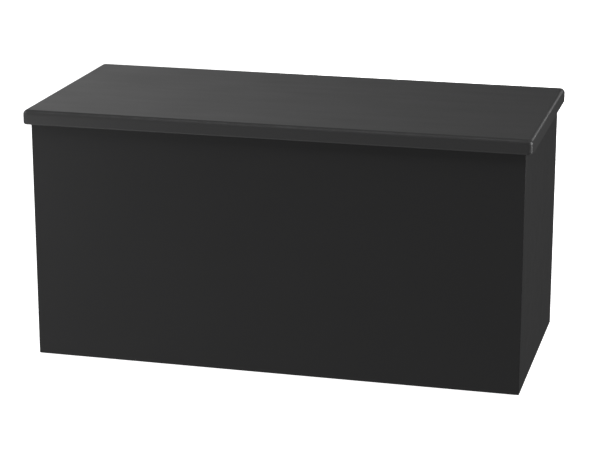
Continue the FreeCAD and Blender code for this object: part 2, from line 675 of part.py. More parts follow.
def stay_pieces():
    """Every piece of the right stay, by the name it has after its side."""
    housing, cover, rotor = damper_pieces()
    y, z = HOUSING_PIVOT
    tight = STAY_PIN_RADIUS
    eye = FreeCAD.Vector(ARM_OUTER + OVERCUT, *ELBOW)
    deep = ARM_OUTER - LINK_INNER + 2 * OVERCUT
    square_half = SPINDLE_SQUARE / 2 + RUNNING_FIT
    arm = bar((ARM_INNER, ARM_OUTER), HOUSING_PIVOT, ELBOW, ARM_RADIUS)
    arm = arm.fuse(rod(ARM_EYE_RADIUS, FreeCAD.Vector(ARM_INNER, y, z), X, ARM_THICKNESS))
    arm = arm.cut([
        block((ARM_INNER - OVERCUT, ARM_OUTER + OVERCUT), (y - square_half, y + square_half),
              (z - square_half, z + square_half)),
        rod(tight + RUNNING_FIT, eye, X * -1, deep),
    ])
    bracket_eye = FreeCAD.Vector(ARM_OUTER + OVERCUT, *BRACKET_PIVOT)
    link = bar((LINK_INNER, LINK_OUTER), ELBOW, BRACKET_PIVOT, LINK_RADIUS)
    link = link.cut([
        rod(tight + RUNNING_FIT, eye, X * -1, deep),
        rod(tight + OPEN_PIVOT_FIT, bracket_eye, X * -1, deep),
    ])
    rivet_steps = [
        (STAY_HEAD_RADIUS, ARM_OUTER), (tight, ARM_INNER), (STAY_SHOULDER_RADIUS, SHOULDER_INNER),
        (tight, PIN_HEAD_INNER), (STAY_HEAD_RADIUS, PIN_HEAD_INNER - STAY_HEAD),
    ]
    by, bz = BRACKET_PIVOT
    foot = block(
        (ARM_OUTER - FOOT_WIDTH, ARM_OUTER),
        (by - FOOT_LENGTH / 2, by + FOOT_LENGTH / 2),
        (LID_UNDERSIDE - FOOT_THICKNESS, LID_UNDERSIDE),
    )
    foot_corners = straight_edges(foot, Z, lambda middle: middle.x < ARM_OUTER - NEAR)
    foot = foot.makeFillet(HOUSING_CORNER / 2, foot_corners)
    lug = block((ARM_INNER, ARM_OUTER), (by - ARM_RADIUS, by + ARM_RADIUS), (bz, LID_UNDERSIDE))
    lug_end = rod(ARM_RADIUS, FreeCAD.Vector(ARM_INNER, by, bz), X, ARM_THICKNESS)
    bracket = foot.fuse([lug, lug_end]).cut(rod(tight + RUNNING_FIT, bracket_eye, X * -1, deep))
    bracket = drilled(bracket, FOOT_SCREW_HOLE, foot_screw_places(1))
    return {
        "stay_housing": housing,
        "stay_cover": cover,
        "stay_rotor": rotor,
        "stay_arm": arm,
        "stay_elbow_rivet": pin(ARM_OUTER + STAY_HEAD, rivet_steps, ELBOW),
        "stay_link": link,
        "stay_lid_bracket": bracket,
        "stay_bracket_pin": pin(ARM_OUTER + STAY_HEAD, rivet_steps, BRACKET_PIVOT),
        "stay_housing_screws": group(pan_screw(EAR_SCREW_LENGTH), ear_screw_places(1)),
        "stay_bracket_screws": group(pan_screw(FOOT_SCREW_LENGTH), foot_screw_places(1)),
    }


def stays():
    """Both stays: the left is the right one mirrored."""
    made = {}
    for name, shape in stay_pieces().items():
        made["right_" + name] = shape
        made["left_" + name] = shape.mirror(FreeCAD.Vector(0, 0, 0), X)
    return made


# ---- build and write every piece
def build():
    """Make every piece, and write each to its own STEP file."""
    pieces = panels()
    for maker in (cleats, corner_fittings, small_fittings, hinges, stays):
        pieces.update(maker())
    pieces["lid_panel"] = lid()
    os.makedirs("parts", exist_ok=True)
    for name, shape in pieces.items():
        shape.exportStep("parts/" + name + ".step")
    print(len(pieces), "pieces written")


build()
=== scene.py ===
"""The looks of a storage bench: a lidded box in black satin lacquer, with the fittings that it holds.

Metres. +X is the bench's right, -Y its front and +Z up, with the origin on the floor under the lid's centre.
The boards that show are worked out here with eased edges, and so are the caps, the glides and the bumpers.
The screws, hinges, stays, cams, dowels, cleats and the base keep the shapes that the frame gives them, and
get their finishes here.
"""
import logging
import math
from collections.abc import Mapping, Sequence
from dataclasses import dataclass
from enum import Enum

import bpy
import numpy as np
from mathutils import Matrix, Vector


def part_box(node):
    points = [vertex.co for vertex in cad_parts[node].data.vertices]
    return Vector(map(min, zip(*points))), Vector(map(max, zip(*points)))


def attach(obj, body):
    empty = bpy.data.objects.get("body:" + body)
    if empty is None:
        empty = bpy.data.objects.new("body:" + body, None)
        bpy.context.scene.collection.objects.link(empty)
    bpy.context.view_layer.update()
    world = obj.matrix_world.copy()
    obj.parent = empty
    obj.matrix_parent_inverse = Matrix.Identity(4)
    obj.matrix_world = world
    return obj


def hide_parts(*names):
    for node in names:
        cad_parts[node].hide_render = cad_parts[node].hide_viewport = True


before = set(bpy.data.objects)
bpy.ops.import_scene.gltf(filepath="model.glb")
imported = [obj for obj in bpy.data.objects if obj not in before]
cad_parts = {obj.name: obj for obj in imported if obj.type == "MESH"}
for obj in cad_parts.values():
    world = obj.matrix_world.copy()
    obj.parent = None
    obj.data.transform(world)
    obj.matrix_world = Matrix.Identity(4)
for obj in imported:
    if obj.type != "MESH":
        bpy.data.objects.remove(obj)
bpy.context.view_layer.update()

Colour = tuple[float, float, float]
Point = tuple[float, float, float]
Array = np.ndarray

ARRIS = "arris"                     # the point attribute that is 1 on a rounded edge and 0 on a flat
log = logging.getLogger("storage_bench")


# ------------ shader maths
@dataclass(frozen=True)
class Value:
    """A number that varies over a surface: an output socket with arithmetic that adds Math nodes.

    Attributes:
        graph: the node tree that the socket belongs to.
        socket: the output socket that carries the number.
    """

    graph: "Graph"
    socket: bpy.types.NodeSocket

    def __add__(self, other: "Value | float") -> "Value":
        """The sum."""
        return self.graph.maths("ADD", self, other)

    def __radd__(self, other: float) -> "Value":
        """The sum, with a plain number first."""
        return self.graph.maths("ADD", other, self)

    def __sub__(self, other: "Value | float") -> "Value":
        """The difference."""
        return self.graph.maths("SUBTRACT", self, other)

    def __rsub__(self, other: float) -> "Value":
        """The difference, from a plain number."""
        return self.graph.maths("SUBTRACT", other, self)

    def __mul__(self, other: "Value | float") -> "Value":
        """The product."""
        return self.graph.maths("MULTIPLY", self, other)

    def __pow__(self, other: "Value | float") -> "Value":
        """The power."""
        return self.graph.maths("POWER", self, other)

    def wave(self) -> "Value":
        """A ripple from 0 to 1: half, plus half the sine of the number taken as turns."""
        return self.graph.maths("SINE", self * (2 * math.pi)) * 0.5 + 0.5

    def between(self, low: float, high: float) -> "Value":
        """A smooth step that rises from 0 where the number is low to 1 where it is high.

        Args:
            low: the number at which the step starts.
            high: the number at which it ends.

        Returns:
            The step's value, never outside 0 to 1.
        """
        node = self.graph.add(
            "ShaderNodeMapRange",
            {"interpolation_type": "SMOOTHSTEP", "clamp": True},
            {"Value": self, "From Min": low, "From Max": high},
        )
        return Value(self.graph, node.outputs["Result"])


Given = Value | bpy.types.NodeSocket | float | Sequence[float]


class Graph:
    """The node tree of one material, or of the surround."""

    def __init__(self, tree: bpy.types.NodeTree) -> None:
        """Empty the tree, so that it holds only what is added here.

        Args:
            tree: the tree to fill.
        """
        self.tree = tree
        tree.nodes.clear()

    def add(
        self,
        kind: str,
        settings: Mapping[str, object] | None = None,
        sockets: Mapping[str | int, Given] | None = None,
    ) -> bpy.types.Node:
        """Add a node.

        Args:
            kind: the node's type.
            settings: its properties, set first; "stops" are a colour ramp's (place, grey) pairs.
            sockets: what each input socket, by name or index, is set to or linked from.

        Returns:
            The new node.
        """
        node = self.tree.nodes.new(kind)
        for name, setting in (settings or {}).items():
            if name == "stops":
                self._set_stops(node.color_ramp, setting)
            else:
                setattr(node, name, setting)
        for name, given in (sockets or {}).items():
            source = given.socket if isinstance(given, Value) else given
            if isinstance(source, bpy.types.NodeSocket):
                self.tree.links.new(source, node.inputs[name])
            else:
                node.inputs[name].default_value = source
        return node

    @staticmethod
    def _set_stops(ramp: bpy.types.ColorRamp, stops: Sequence[tuple[float, float]]) -> None:
        """Give a colour ramp its grey stops, from the first to the last.

        Args:
            ramp: the ramp, with the two stops that it starts with.
            stops: a place from 0 to 1 and a grey for each stop.
        """
        while len(ramp.elements) < len(stops):
            ramp.elements.new(1.0)
        for element, (place, grey) in zip(ramp.elements, stops):
            element.position = place
            element.color = (grey, grey, grey, 1.0)

    def maths(self, operation: str, first: Value | float, second: Value | float = 0.0) -> Value:
        """One Math node.

        Args:
            operation: the Math node's operation.
            first: its first number.
            second: its second number, which some operations leave alone.

        Returns:
            The node's result.
        """
        node = self.add("ShaderNodeMath", {"operation": operation}, {0: first, 1: second})
        return Value(self, node.outputs[0])

    def place(self, scale: Point = (1.0, 1.0, 1.0)) -> bpy.types.NodeSocket:
        """Where the surface lies on its own object, in metres, stretched along each axis.

        Args:
            scale: how much finer a pattern gets along X, Y and Z.

        Returns:
            The stretched coordinates.
        """
        source = self.add("ShaderNodeTexCoord").outputs["Object"]
        return self.add("ShaderNodeMapping", None, {"Vector": source, "Scale": scale}).outputs["Vector"]

    def noise(self, where: bpy.types.NodeSocket, scale: float, detail: float = 2.0) -> Value:
        """Soft random blotches from 0 to 1.

        Args:
            where: the coordinates to read them at.
            scale: blotches to the metre of those coordinates.
            detail: how many finer layers lie on them.

        Returns:
            The blotches' value.
        """
        node = self.add("ShaderNodeTexNoise", None, {"Vector": where, "Scale": scale, "Detail": detail})
        return Value(self, node.outputs["Fac"])

    def blend(
        self, share: Value, first: Colour | bpy.types.NodeSocket, second: Colour | bpy.types.NodeSocket
    ) -> bpy.types.NodeSocket:
        """One colour turning into another.

        Args:
            share: how much of the second colour there is.
            first: the colour, or its socket, where the share is 0.
            second: the colour, or its socket, where the share is 1.

        Returns:
            The blended colour.
        """
        colours = [c if isinstance(c, bpy.types.NodeSocket) else (*c, 1.0) for c in (first, second)]
        node = self.add(
            "ShaderNodeMix", {"data_type": "RGBA"}, {0: share, 6: colours[0], 7: colours[1]}
        )
        return node.outputs[2]

    def bump(self, height: Value, depth: float) -> bpy.types.NodeSocket:
        """A fine relief.

        Args:
            height: the relief, from 0 to 1.
            depth: how deep it is from 0 to 1, in metres.

        Returns:
            The normal that the relief gives the surface.
        """
        node = self.add("ShaderNodeBump", None, {"Height": height, "Distance": depth, "Strength": 1.0})
        return node.outputs["Normal"]

    def arris(self) -> Value:
        """How far a point lies on a rounded edge, from 0 on a flat to 1 on the edge's crown."""
        return Value(self, self.add("ShaderNodeAttribute", {"attribute_name": ARRIS}).outputs["Fac"])


# ------------ finishes
@dataclass(frozen=True)
class Finish:
    """What a surface is made of or coated with.

    Attributes:
        name: the finish's name.
        tone: its main colour, in linear light.
        roughness: from 0, mirror bright, to 1, chalk matt.
    """

    name: str
    tone: Colour
    roughness: float

    def material(self) -> bpy.types.Material:
        """The finish as a material, the same one at each call."""
        made = bpy.data.materials.get(self.name)
        if made is not None:
            return made
        material = bpy.data.materials.new(self.name)
        material.use_nodes = True
        graph = Graph(material.node_tree)
        surface = graph.add("ShaderNodeBsdfPrincipled", None, self.sockets(graph))
        graph.add("ShaderNodeOutputMaterial", None, {"Surface": surface.outputs["BSDF"]})
        return material

    def sockets(self, graph: Graph) -> dict[str, Given]:
        """The surface shader's sockets.

        Args:
            graph: the material's tree, to add pattern nodes to.

        Returns:
            What each socket is set to or linked from.
        """
        raise NotImplementedError


@dataclass(frozen=True)
class SatinLacquer(Finish):
    """Sprayed black lacquer: a faint orange peel, wiped patches, a little dust, and worn arrises that are
    lighter, partly from wear and partly as a painted highlight.

    Attributes:
        worn_and_sheen_tone: the lighter colour of a worn arris, partly wear and partly painted highlight.
        mottle: how much the roughness changes from patch to patch.
        peel_depth: depth of the orange peel, in metres.
        dust_tone: the colour of the dust specks.
        dust: how much of the dust's colour a speck takes.
        wear_and_sheen: how much of the lighter colour, partly wear and partly painted highlight, an arris
            takes where it is worn most.
        polish: how much less rough an arris is where it has all of the lighter colour.
    """

    # The lighter black of a worn arris: partly wear, partly a painted highlight along the edges.
    worn_and_sheen_tone: Colour = (0.050, 0.050, 0.051)
    mottle: float = 0.06
    peel_depth: float = 0.000012
    dust_tone: Colour = (0.10, 0.10, 0.095)
    dust: float = 0.6
    wear_and_sheen: float = 0.6
    polish: float = 0.10

    def sockets(self, graph: Graph) -> dict[str, Given]:
        """Orange peel in the normal, wiping streaks and patches in the roughness, specks in the colour."""
        here = graph.place()
        along = graph.place((1.5, 14.0, 14.0))
        patches = graph.noise(here, 9.0, 3.0)
        streaks = graph.noise(along, 3.0, 3.0)
        specks = graph.noise(here, 900.0, 1.0).between(0.80, 0.86) * self.dust
        # Arrises made lighter in patches: partly wear, partly a painted highlight along the edges.
        rubbed_and_sheen = graph.arris() ** 2.0 * graph.noise(here, 60.0).between(0.30, 0.75) * self.wear_and_sheen
        worn = graph.blend(rubbed_and_sheen, self.tone, self.worn_and_sheen_tone)
        colour = graph.blend(specks, worn, self.dust_tone)
        roughness = self.roughness + (patches - 0.5) * self.mottle + (streaks - 0.5) * self.mottle
        peel = graph.noise(here, 320.0, 1.0)
        return {
            "Base Color": colour,
            "Roughness": roughness - rubbed_and_sheen * self.polish,
            "Normal": graph.bump(peel, self.peel_depth),
            "IOR": 1.5,
        }


@dataclass(frozen=True)
class Melamine(Finish):
    """Board faced in black melamine with a fine pearl texture.

    Attributes:
        texture_depth: depth of the pressed texture, in metres.
        lighter: how many times brighter the scuffs' colour is.
        scuffing: how much of that colour a scuff takes.
    """

    texture_depth: float = 0.00003
    lighter: float = 1.5
    scuffing: float = 0.6

    def sockets(self, graph: Graph) -> dict[str, Given]:
        """A pressed pearl texture, with scuffed patches that are a little lighter and rougher."""
        here = graph.place()
        pearl = graph.noise(here, 650.0, 3.0)
        scuffs = graph.noise(graph.place((2.0, 9.0, 9.0)), 6.0, 5.0).between(0.52, 0.80)
        light = tuple(channel * self.lighter for channel in self.tone)
        return {
            "Base Color": graph.blend(scuffs * self.scuffing + pearl * 0.2, self.tone, light),
            "Roughness": self.roughness + scuffs * 0.08 + (pearl - 0.5) * 0.1,
            "Normal": graph.bump(pearl, self.texture_depth),
        }


class Grain(Enum):
    """The way that a piece of timber's grain runs, as the fineness of its pattern along X, Y and Z."""

    ALONG_X = (1.0, 18.0, 18.0)
    ALONG_Y = (18.0, 1.0, 18.0)


@dataclass(frozen=True)
class Timber(Finish):
    """Bare planed timber.

    Attributes:
        dark: the colour of the late wood.
        grain: the way that the grain runs.
        sweep: blotches to the metre of the stretched coordinates, in the noise that the rings follow.
        rings: growth rings between that noise's 0 and its 1.
        growth: how the wood darkens as a ring's ripple rises, as (ripple, share of late wood) pairs.
        relief: depth of the fibres and rings, in metres.
    """

    dark: Colour
    grain: Grain
    sweep: float = 9.0
    rings: float = 9.0
    growth: tuple[tuple[float, float], ...] = ((0.0, 0.0), (0.55, 0.15), (0.88, 1.0), (1.0, 0.8))
    relief: float = 0.00008

    def sockets(self, graph: Graph) -> dict[str, Given]:
        """Pale early wood rising to dark late wood in each ring, fibres along the grain, and a few knots."""
        stretched = graph.place(self.grain.value)
        season = (graph.noise(stretched, self.sweep, 1.0) * self.rings).wave()
        ramp = graph.add("ShaderNodeValToRGB", {"stops": self.growth}, {"Fac": season})
        rings = Value(graph, ramp.outputs["Color"])
        fibres = graph.noise(stretched, 70.0, 4.0)
        knots = graph.noise(graph.place(), 14.0, 1.0).between(0.70, 0.78)
        late = rings * 0.55 + fibres * 0.25 + knots * 0.6
        return {
            "Base Color": graph.blend(late, self.tone, self.dark),
            "Roughness": self.roughness + (fibres - 0.5) * 0.2,
            "Normal": graph.bump(fibres + rings * 0.5, self.relief),
        }


@dataclass(frozen=True)
class PlatedMetal(Finish):
    """Bright or satin plating on steel.

    Attributes:
        second_tone: the colour that the plating drifts to.
        brushed: how the brushing is stretched along X, Y and Z.
        scratch_depth: depth of the brushing, in metres.
        bloom: the least share of the surface that a dull oxide bloom takes.
        bloom_drift: how much more it takes where the plating has drifted.
    """

    second_tone: Colour
    brushed: Point = (6.0, 6.0, 6.0)
    scratch_depth: float = 0.000006
    bloom: float = 0.30
    bloom_drift: float = 0.15

    def sockets(self, graph: Graph) -> dict[str, Given]:
        """Brushing under a pale oxide bloom, drifting from one tone of the plating to another."""
        here = graph.place()
        lines = graph.noise(graph.place(self.brushed), 400.0, 2.0)
        drift = graph.noise(here, 45.0, 2.0).between(0.35, 0.65)
        bloom = drift * self.bloom_drift + self.bloom
        return {
            "Base Color": graph.blend(drift * 0.7 + lines * 0.2, self.tone, self.second_tone),
            "Metallic": 1.0 - bloom,
            "Roughness": self.roughness + (lines - 0.5) * 0.22 + drift * 0.05,
            "Normal": graph.bump(lines, self.scratch_depth),
        }


@dataclass(frozen=True)
class CastZinc(Finish):
    """Die-cast zinc as it leaves the die.

    Attributes:
        darker: the brightness of the dull clouds' colour, as a share of the main one's.
        skin: the share of dull oxide in the thickest clouds.
        pit_depth: depth of the pits, in metres.
    """

    darker: float = 0.6
    skin: float = 0.4
    pit_depth: float = 0.00002

    def sockets(self, graph: Graph) -> dict[str, Given]:
        """A clouded, slightly pitted skin."""
        here = graph.place()
        clouds = graph.noise(here, 160.0, 4.0)
        pits = graph.noise(here, 1400.0, 1.0).between(0.62, 0.80)
        dull = tuple(channel * self.darker for channel in self.tone)
        return {
            "Base Color": graph.blend(clouds.between(0.35, 0.7), self.tone, dull),
            "Metallic": 1.0 - clouds * self.skin,
            "Roughness": self.roughness + (clouds - 0.5) * 0.3,
            "Normal": graph.bump(1.0 - pits, self.pit_depth),
        }


@dataclass(frozen=True)
class MouldedPlastic(Finish):
    """Moulded plastic with a spark-eroded texture.

    Attributes:
        texture: sparks to the metre.
        texture_depth: depth of the texture, in metres.
        lighter: how many times brighter the colour is that sparks and worn edges drift to.
    """

    texture: float = 1300.0
    texture_depth: float = 0.00002
    lighter: float = 1.35

    def sockets(self, graph: Graph) -> dict[str, Given]:
        """An even fine texture, with the flow of the melt just showing in the gloss."""
        here = graph.place()
        sparks = graph.noise(here, self.texture, 2.0)
        flow = graph.noise(here, 30.0, 3.0)
        light = tuple(channel * self.lighter for channel in self.tone)
        worn = sparks.between(0.4, 0.75) * 0.5 + graph.arris() * 0.3
        return {
            "Base Color": graph.blend(worn, self.tone, light),
            "Roughness": self.roughness + (flow - 0.5) * 0.15 + (sparks - 0.5) * 0.08,
            "Normal": graph.bump(sparks, self.texture_depth),
        }


@dataclass(frozen=True)
class ClearRubber(Finish):
    """Clear soft polyurethane.

    Attributes:
        haze_tone: the colour of handling marks.
    """

    haze_tone: Colour = (0.62, 0.63, 0.60)

    def sockets(self, graph: Graph) -> dict[str, Given]:
        """See-through, with a faint haze of handling marks."""
        haze = graph.noise(graph.place(), 300.0, 3.0)
        return {
            "Base Color": graph.blend(haze * 0.4, self.tone, self.haze_tone),
            "Transmission Weight": 0.9,
            "IOR": 1.48,
            "Roughness": self.roughness + haze * 0.12,
        }


@dataclass(frozen=True)
class StudioPaper(Finish):
    """The pale ground under the bench, which gives its own light and so shows plain white.

    Attributes:
        second_tone: the colour that it drifts to.
        glow: the light that it gives by itself.
    """

    second_tone: Colour = (0.80, 0.80, 0.80)
    glow: float = 1.05

    def sockets(self, graph: Graph) -> dict[str, Given]:
        """Matt paper with a barely uneven tone."""
        cloud = graph.noise(graph.place(), 3.0)
        return {
            "Base Color": graph.blend(cloud, self.tone, self.second_tone),
            "Roughness": self.roughness,
            "Specular IOR Level": 0.0,
            "Emission Color": (1.0, 1.0, 1.0, 1.0),
            "Emission Strength": self.glow,
        }


BODY_LACQUER = SatinLacquer("body_black_lacquer", (0.0150, 0.0150, 0.0153), 0.36)
# The seat's black is the body's lacquer at twice its lightness: painted light, so the seat's front edge shows
# lighter than the front board below it.
SEAT_LACQUER_PAINTED_LIGHTER = SatinLacquer("seat_black_lacquer", (0.0290, 0.0290, 0.0293), 0.36)
BLACK_MELAMINE = Melamine("base_black_melamine", (0.030, 0.030, 0.031), 0.50)
PINE_LATE = (0.42, 0.24, 0.11)
PINE_ALONG_X = Timber("pine_grain_along_x", (0.74, 0.55, 0.34), 0.55, PINE_LATE, Grain.ALONG_X)
PINE_ALONG_Y = Timber("pine_grain_along_y", (0.74, 0.55, 0.34), 0.55, PINE_LATE, Grain.ALONG_Y)
BEECH = Timber("dowel_beech", (0.68, 0.50, 0.34), 0.5, (0.45, 0.28, 0.17), Grain.ALONG_Y, 20.0)
ZINC_PLATE = PlatedMetal("bright_zinc_plate", (0.64, 0.66, 0.69), 0.27, (0.58, 0.60, 0.66))
SATIN_NICKEL = PlatedMetal(
    "satin_nickel_plate", (0.62, 0.60, 0.56), 0.32, (0.55, 0.53, 0.49), (8.0, 1.0, 1.0)
)
DIE_CAST_ZINC = CastZinc("die_cast_zinc", (0.60, 0.60, 0.62), 0.45)
CAP_PLASTIC = MouldedPlastic("cap_black_plastic", (0.022, 0.022, 0.023), 0.46)
DAMPER_PLASTIC = MouldedPlastic("damper_grey_plastic", (0.085, 0.085, 0.090), 0.50, 1000.0, 0.00003)
GLIDE_NYLON = MouldedPlastic("glide_black_nylon", (0.035, 0.035, 0.037), 0.38, 2000.0, 0.00001)
BUMPER_RUBBER = ClearRubber("bumper_clear_rubber", (0.86, 0.88, 0.87), 0.12)
STUDIO_PAPER = StudioPaper("studio_paper", (0.82, 0.82, 0.82), 0.9)


# ------------ surfaces
def shaped_piece(name: str, points: Array, faces: Sequence[Sequence[int]]) -> bpy.types.Object:
    """Put a surface into a new object and mark how far each point lies on a rounded edge.

    The mark is 1 less the largest part of the point's normal along X, Y or Z, scaled so that a face along two
    axes gives 0 and one at 45 degrees between them gives 1.

    Args:
        name: the piece's name.
        points: its points, one row each, in metres.
        faces: the points of each face, counter-clockwise from outside.

    Returns:
        The object, at the origin.
    """
    mesh = bpy.data.meshes.new(name)
    mesh.from_pydata(points.tolist(), [], faces)
    mesh.polygons.foreach_set("use_smooth", np.ones(len(mesh.polygons), dtype=bool))
    mesh.update()
    normals = np.empty(len(mesh.vertices) * 3, dtype=np.float32)
    mesh.vertices.foreach_get("normal", normals)
    turned_away = 1.0 - np.abs(normals.reshape(-1, 3)).max(axis=1)
    rounded = np.clip(turned_away / (1.0 - math.sqrt(0.5)), 0.0, 1.0)
    mesh.attributes.new(ARRIS, "FLOAT", "POINT").data.foreach_set("value", rounded.astype(np.float32))
    piece = bpy.data.objects.new(name, mesh)
    bpy.context.scene.collection.objects.link(piece)
    return piece


def face_lines(straight: float, steps: int, support: float, pitch: float) -> tuple[Array, Array]:
    """Lines across a board's face, from the rounded corners at one edge to those at the other.

    Each line has two numbers. Outward is -1 to 0 in the near corner zone, 0 over the straight, and 0 to 1 in
    the far zone, and steps as the tangent of even angles up to 45 degrees, which divides the corner arcs
    evenly. Along is the share of the straight that lies behind the line. A supporting line close to each arc
    keeps the straight flat in its shading.

    Args:
        straight: length of the straight between the corner zones.
        steps: steps over half a corner arc.
        support: how far inside the arcs the supporting lines lie.
        pitch: the most that the other lines lie apart.

    Returns:
        The lines' outward numbers and their along numbers.
    """
    zone = np.tan(np.linspace(0.0, math.pi / 4, steps + 1))[1:]
    inner = np.linspace(support, straight - support, math.ceil(straight / pitch) + 1) / straight
    share = np.concatenate(([0.0], inner, [1.0]))
    outward = np.concatenate((-zone[::-1], np.zeros(share.size), zone))
    along = np.concatenate((np.zeros(zone.size), share, np.ones(zone.size)))
    return outward, along


@dataclass(frozen=True)
class EasedBoard:
    """A board whose cross-section has its own radius at each corner, and whose two end faces are eased.

    The section lies across the run axis. Its first direction follows the run axis in the order X, Y, Z, X,
    and its second follows the first.

    Attributes:
        low: lowest corner of the board's box.
        high: highest corner.
        run: the axis that the section is carried along, 0 for X to 2 for Z.
        radii: the section's corner radii, at low-low, high-low, low-high and high-high of its two directions.
        low_ease: radius where the section meets the end face at the low end of the run.
        high_ease: the same at the high end.
        steps: steps over half a corner arc, and over half an eased edge.
        pitch: the most that lines over the flats lie apart.
        support: how far the supporting lines lie from the arcs.
    """

    low: Vector
    high: Vector
    run: int
    radii: tuple[float, float, float, float]
    low_ease: float
    high_ease: float
    steps: int = 5
    pitch: float = 0.06
    support: float = 0.0004

    def _section(self, lines: Sequence[Array], inset: Array | float) -> Array:
        """Points of the section, drawn in from its outline.

        A point is the blend of the four corner arcs' centres by its shares along the two straights, plus the
        blended radius less the inset times its direction in the corner zone. The direction is its pair of
        outward numbers, scaled so that the square zone becomes a quarter disc.

        Args:
            lines: outward and along in the first direction, then in the second, as arrays that broadcast.
            inset: how far the outline is drawn in.

        Returns:
            The points, with the two directions last.
        """
        first, second = (self.run + 1) % 3, (self.run + 2) % 3
        u, share_u, v, share_v = np.broadcast_arrays(*lines)
        distance = np.hypot(u, v)
        farther = np.maximum(abs(u), abs(v))
        disc = np.divide(farther, distance, out=np.zeros_like(distance), where=distance > 0)
        across = np.zeros(np.broadcast(u, inset).shape + (2,))
        for corner, radius in enumerate(self.radii):
            at_high_u, at_high_v = corner % 2, corner // 2
            share = (share_u if at_high_u else 1 - share_u) * (share_v if at_high_v else 1 - share_v)
            centre_u = self.high[first] - radius if at_high_u else self.low[first] + radius
            centre_v = self.high[second] - radius if at_high_v else self.low[second] + radius
            across[..., 0] += share * (centre_u + (radius - inset) * disc * u)
            across[..., 1] += share * (centre_v + (radius - inset) * disc * v)
        return across

    def _run_rings(self) -> tuple[Array, Array]:
        """Each ring's inset and its place along the run, from one end face's edge to the other's.

        Over an eased edge both follow a quarter circle: the inset is the radius less the radius times the
        sine of the angle, and the place is the radius less the radius times its cosine.

        Returns:
            The insets and the places.
        """
        angle = np.linspace(0.0, math.pi / 2, 2 * self.steps + 1)
        inward, onward = 1 - np.sin(angle), 1 - np.cos(angle)
        start, end = self.low[self.run], self.high[self.run]
        first = start + self.low_ease + self.support
        last = end - self.high_ease - self.support
        flat = np.linspace(first, last, math.ceil((last - first) / self.pitch) + 1)
        insets = (self.low_ease * inward, np.zeros(flat.size), self.high_ease * inward[::-1])
        places = (start + self.low_ease * onward, flat, end - self.high_ease * onward[::-1])
        return np.concatenate(insets), np.concatenate(places)

    def piece(self, name: str) -> bpy.types.Object:
        """Build the board: two end faces as grids, and rings of faces between their outlines.

        Args:
            name: the piece's name.

        Returns:
            The board's object.
        """
        first, second = (self.run + 1) % 3, (self.run + 2) % 3
        straight = self.high - self.low - Vector((2 * max(self.radii),) * 3)
        u, share_u = face_lines(straight[first], self.steps, self.support, self.pitch)
        v, share_v = face_lines(straight[second], self.steps, self.support, self.pitch)
        columns, rows = u.size, v.size
        index = np.arange(columns * rows).reshape(columns, rows)
        border = np.concatenate((index[:, 0], index[-1, 1:], index[-2::-1, -1], index[0, -2:0:-1]))
        insets, places = self._run_rings()
        grid = (u[:, None], share_u[:, None], v[None, :], share_v[None, :])
        edge = [np.broadcast_to(line, (columns, rows)).ravel()[border] for line in grid]
        levels = [self._section(grid, insets[0]).reshape(-1, 2)]
        heights = [np.full(columns * rows, places[0])]
        middle = self._section([line[None, :] for line in edge], insets[1:-1, None])
        levels.append(middle.reshape(-1, 2))
        heights.append(np.repeat(places[1:-1], border.size))
        levels.append(self._section(grid, insets[-1]).reshape(-1, 2))
        heights.append(np.full(columns * rows, places[-1]))
        across = np.concatenate(levels)
        points = np.empty((len(across), 3))
        points[:, [first, second]] = across
        points[:, self.run] = np.concatenate(heights)
        top = columns * rows + middle.shape[0] * border.size
        rings = columns * rows + np.arange(middle.shape[0] * border.size).reshape(-1, border.size)
        rings = np.concatenate((border[None, :], rings, top + border[None, :]))
        following = np.roll(rings, -1, axis=1)
        wall = np.stack((rings[:-1], following[:-1], following[1:], rings[1:]), axis=-1)
        face = np.stack((index[:-1, :-1], index[1:, :-1], index[1:, 1:], index[:-1, 1:]), axis=-1)
        low_face, high_face = face[..., ::-1].reshape(-1, 4), top + face.reshape(-1, 4)
        faces = np.concatenate((low_face, wall.reshape(-1, 4), high_face))
        return shaped_piece(name, points, faces.tolist())


def arc(centre: tuple[float, float], radius: float, start: float, end: float, steps: int = 6) -> Array:
    """Points of an arc in a profile: the centre plus the radius times the angle's cosine and sine.

    Args:
        centre: (radius, height) of the arc's centre.
        radius: the arc's radius.
        start: its first angle, in degrees from the outward direction towards the upward one.
        end: its last angle.
        steps: how many steps it is divided into.

    Returns:
        The (radius, height) rows.
    """
    angle = np.radians(np.linspace(start, end, steps + 1))
    return np.column_stack((centre[0] + radius * np.cos(angle), centre[1] + radius * np.sin(angle)))


def turned_pieces(
    name: str, profile: Array, places: Sequence[tuple[Vector, Vector]], segments: int = 48
) -> bpy.types.Object:
    """Turn a profile about an axis at each of several places, as one object.

    A point of the surface is the place, plus the profile's height along the axis, plus its radius times the
    cosine and the sine of the turn in the two directions across the axis.

    Args:
        name: the piece's name.
        profile: (radius, height) rows from the foot to the top, without the two points on the axis.
        places: a point and an upward direction for each copy.
        segments: faces round the axis.

    Returns:
        The object that holds every copy.
    """
    turn = np.linspace(0.0, 2 * math.pi, segments, endpoint=False)
    radius, height = profile[:, 0], profile[:, 1]
    ring = np.stack(
        (
            radius[:, None] * np.cos(turn),
            radius[:, None] * np.sin(turn),
            np.broadcast_to(height[:, None], (height.size, segments)),
        ),
        axis=-1,
    ).reshape(-1, 3)
    local = np.concatenate((ring, [[0.0, 0.0, height[0]], [0.0, 0.0, height[-1]]]))
    index = np.arange(height.size * segments).reshape(height.size, segments)
    following = np.roll(index, -1, axis=1)
    wall = np.stack((index[:-1], following[:-1], following[1:], index[1:]), axis=-1).reshape(-1, 4)
    foot, top = np.full(segments, len(ring)), np.full(segments, len(ring) + 1)
    ends = np.concatenate(
        (np.column_stack((foot, following[0], index[0])), np.column_stack((top, index[-1], following[-1])))
    )
    points, faces = [], []
    for place, upward in places:
        turned = np.array(upward.to_track_quat("Z", "X").to_matrix())
        offset = len(points) * len(local)
        points.append(local @ turned.T + np.array(place))
        faces += (wall + offset).tolist() + (ends + offset).tolist()
    return shaped_piece(name, np.concatenate(points), faces)


